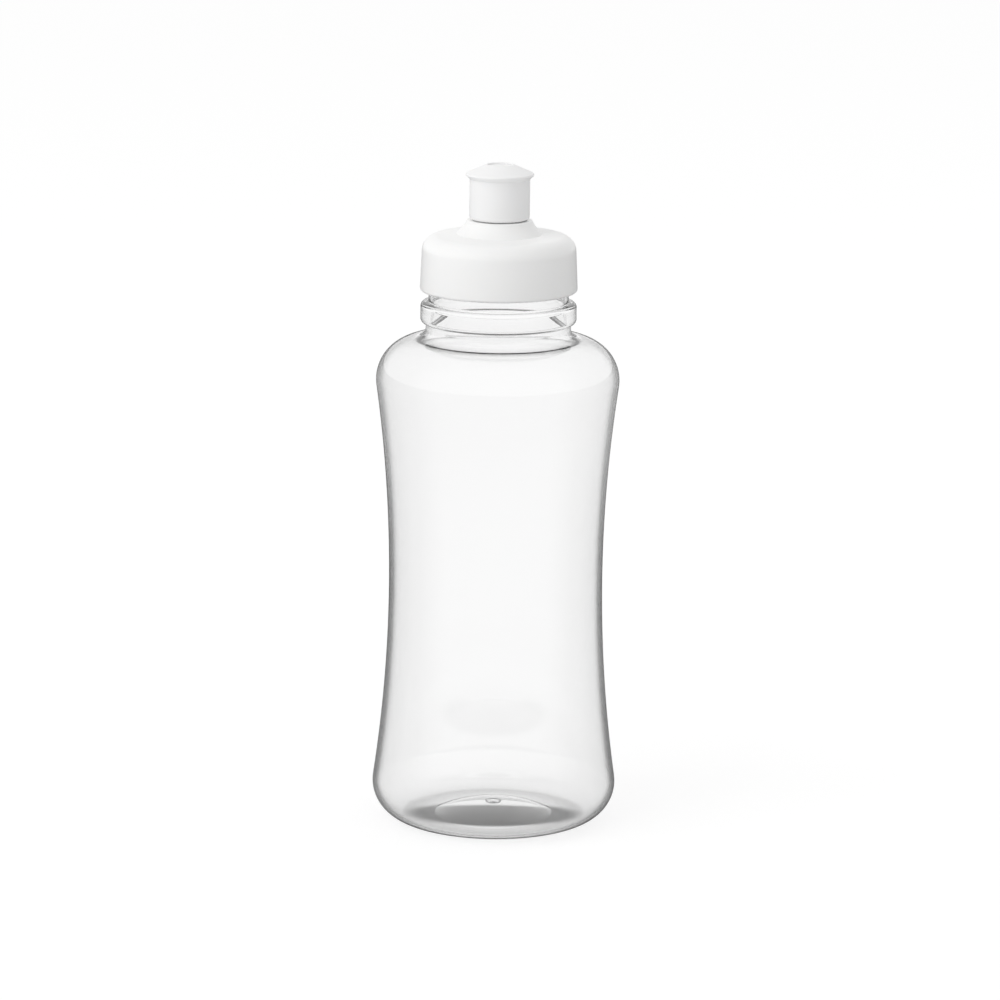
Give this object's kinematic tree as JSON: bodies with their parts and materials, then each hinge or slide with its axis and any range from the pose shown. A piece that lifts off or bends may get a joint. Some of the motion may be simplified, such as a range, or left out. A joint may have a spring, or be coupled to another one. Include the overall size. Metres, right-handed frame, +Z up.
{
  "type": "squeeze bottle",
  "caption": "Clear waisted squeeze bottle with a carrying ring, a white screw cap and a push-pull drinking spout.",
  "frame": {"origin": "middle of the base, on the surface the bottle stands on", "axes": "+Z up along the bottle's axis, +X to the right and +Y away from the front"},
  "size_m": [0.073, 0.073, 0.1982],
  "materials": {
    "clear_plastic": "clear blown plastic, glossy inside and out",
    "cap_plastic": "white moulded plastic, soft gloss",
    "spout_plastic": "white soft moulded plastic, satin",
    "seal_rubber": "pale soft rubber"
  },
  "bodies": {
    "bottle": {"bottle": "clear_plastic"},
    "seal": {"seal_ring": "seal_rubber"},
    "cap": {"cap": "cap_plastic"},
    "spout": {"spout": "spout_plastic"}
  },
  "joints": [
    {"name": "cap_lift", "type": "slide", "parent": "bottle", "child": "seal", "axis": [0, 0, 1], "range_m": [0, 0.0147]},
    {"name": "cap_turn", "type": "hinge", "parent": "seal", "child": "cap", "pos_m": [0, 0, 0.168], "axis": [0, 0, 1], "range_deg": [0, 1260]},
    {"name": "spout_pull", "type": "slide", "parent": "cap", "child": "spout", "axis": [0, 0, 1], "range_m": [0, 0.0055]}
  ],
  "couplings": [
    {"joint": "cap_lift", "follows": "cap_turn", "m_per_rad": 0.00066845}
  ]
}
